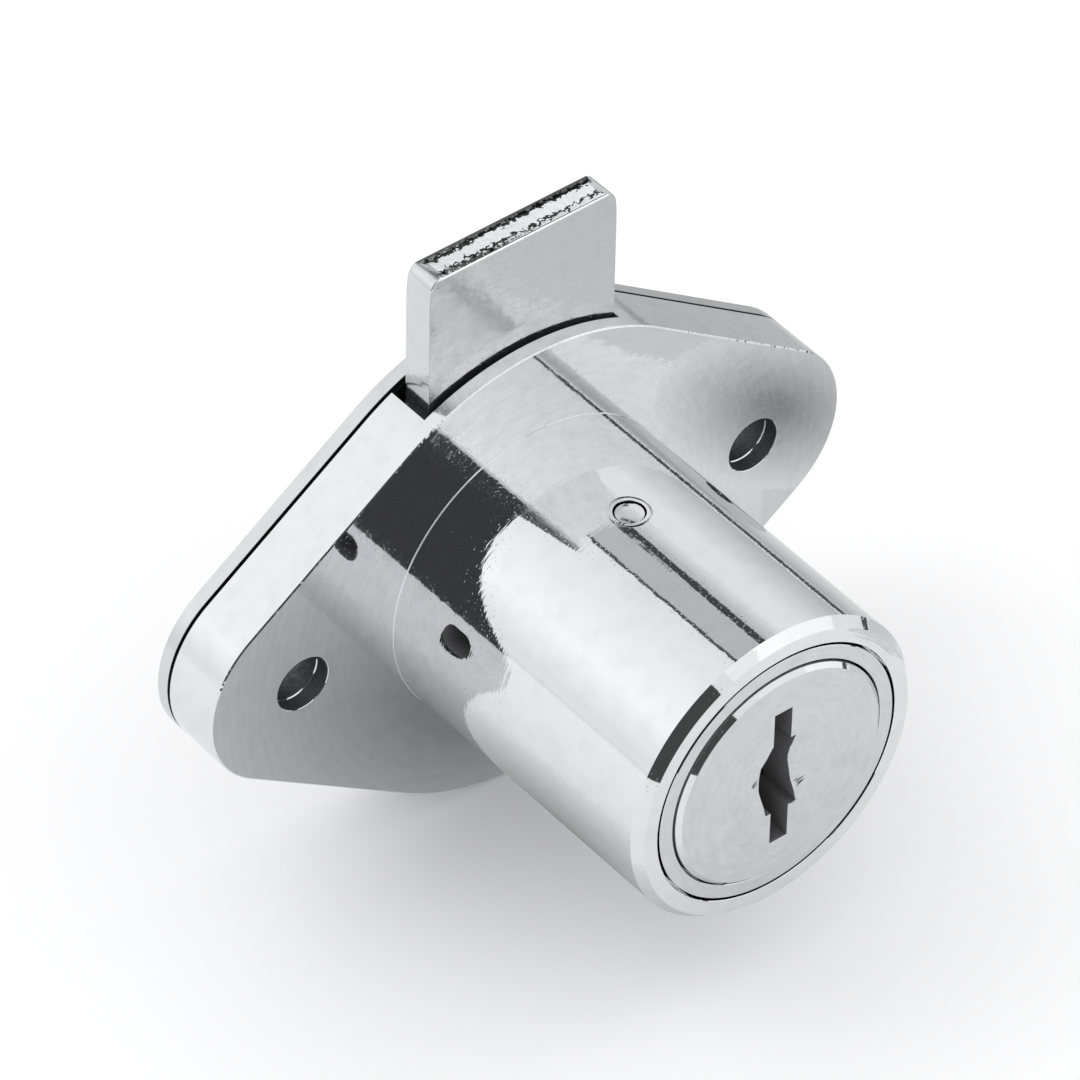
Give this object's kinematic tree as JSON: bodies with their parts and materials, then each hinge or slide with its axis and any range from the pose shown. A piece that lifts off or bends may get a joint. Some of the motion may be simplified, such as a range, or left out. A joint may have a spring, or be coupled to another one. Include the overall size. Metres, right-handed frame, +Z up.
{
  "type": "drawer lock",
  "caption": "Round-barrel drawer lock: a quarter turn of the wafer plug draws a flat bolt into a flange with two screw ears.",
  "frame": {"origin": "on the barrel's axis, in the flange face that bears on the inside of the drawer front", "axes": "+X along the flange through both screw holes, +Y into the drawer (the barrel and keyhole point to -Y), +Z up, the way the bolt comes out"},
  "size_m": [0.0434, 0.0263, 0.0374],
  "materials": {
    "body_nickel": "bright nickel plating over smooth die-cast zinc",
    "plate_steel": "bright nickel-plated sheet steel and rivets",
    "ring_nickel": "nickel plating with a fine turned grain",
    "plug_nickel": "satin nickel with concentric turning marks",
    "bolt_nickel": "satin nickel plating over die-cast zinc",
    "pin_steel": "plain ground steel, flattened at the staked end",
    "wafer_brass": "stamped brass",
    "spring_wire": "drawn spring wire"
  },
  "bodies": {
    "body": {"lock_body": "body_nickel", "back_plate": "plate_steel", "plate_rivets": "plate_steel", "front_ring": "ring_nickel", "stop_pin": "pin_steel"},
    "plug": {"plug": "plug_nickel", "drive_pin": "pin_steel", "wafer_spring_1": "spring_wire", "wafer_spring_2": "spring_wire", "wafer_spring_3": "spring_wire", "wafer_spring_4": "spring_wire", "wafer_spring_5": "spring_wire", "wafer_spring_6": "spring_wire"},
    "bolt": {"bolt": "bolt_nickel"},
    "wafer_1": {"wafer_1": "wafer_brass"},
    "wafer_2": {"wafer_2": "wafer_brass"},
    "wafer_3": {"wafer_3": "wafer_brass"},
    "wafer_4": {"wafer_4": "wafer_brass"},
    "wafer_5": {"wafer_5": "wafer_brass"},
    "wafer_6": {"wafer_6": "wafer_brass"}
  },
  "joints": [
    {"name": "plug_turn", "type": "hinge", "parent": "body", "child": "plug", "pos_m": [0, 0, 0], "axis": [0, 1, 0], "range_deg": [0, 90]},
    {"name": "bolt_slide", "type": "slide", "parent": "body", "child": "bolt", "axis": [0, 0, -1], "range_m": [0, 0.0075]},
    {"name": "wafer_1_lift", "type": "slide", "parent": "plug", "child": "wafer_1", "axis": [0, 0, 1], "range_m": [0, 0.0008], "stiffness_N_per_m": 100, "deforming": ["wafer_spring_1"]},
    {"name": "wafer_2_lift", "type": "slide", "parent": "plug", "child": "wafer_2", "axis": [0, 0, 1], "range_m": [0, 0.0008], "stiffness_N_per_m": 100, "deforming": ["wafer_spring_2"]},
    {"name": "wafer_3_lift", "type": "slide", "parent": "plug", "child": "wafer_3", "axis": [0, 0, 1], "range_m": [0, 0.0008], "stiffness_N_per_m": 100, "deforming": ["wafer_spring_3"]},
    {"name": "wafer_4_lift", "type": "slide", "parent": "plug", "child": "wafer_4", "axis": [0, 0, 1], "range_m": [0, 0.0008], "stiffness_N_per_m": 100, "deforming": ["wafer_spring_4"]},
    {"name": "wafer_5_lift", "type": "slide", "parent": "plug", "child": "wafer_5", "axis": [0, 0, 1], "range_m": [0, 0.0008], "stiffness_N_per_m": 100, "deforming": ["wafer_spring_5"]},
    {"name": "wafer_6_lift", "type": "slide", "parent": "plug", "child": "wafer_6", "axis": [0, 0, 1], "range_m": [0, 0.0008], "stiffness_N_per_m": 100, "deforming": ["wafer_spring_6"]}
  ],
  "couplings": [
    {"joint": "plug_turn", "follows": "bolt_slide", "rad_per_m": 209.57}
  ]
}
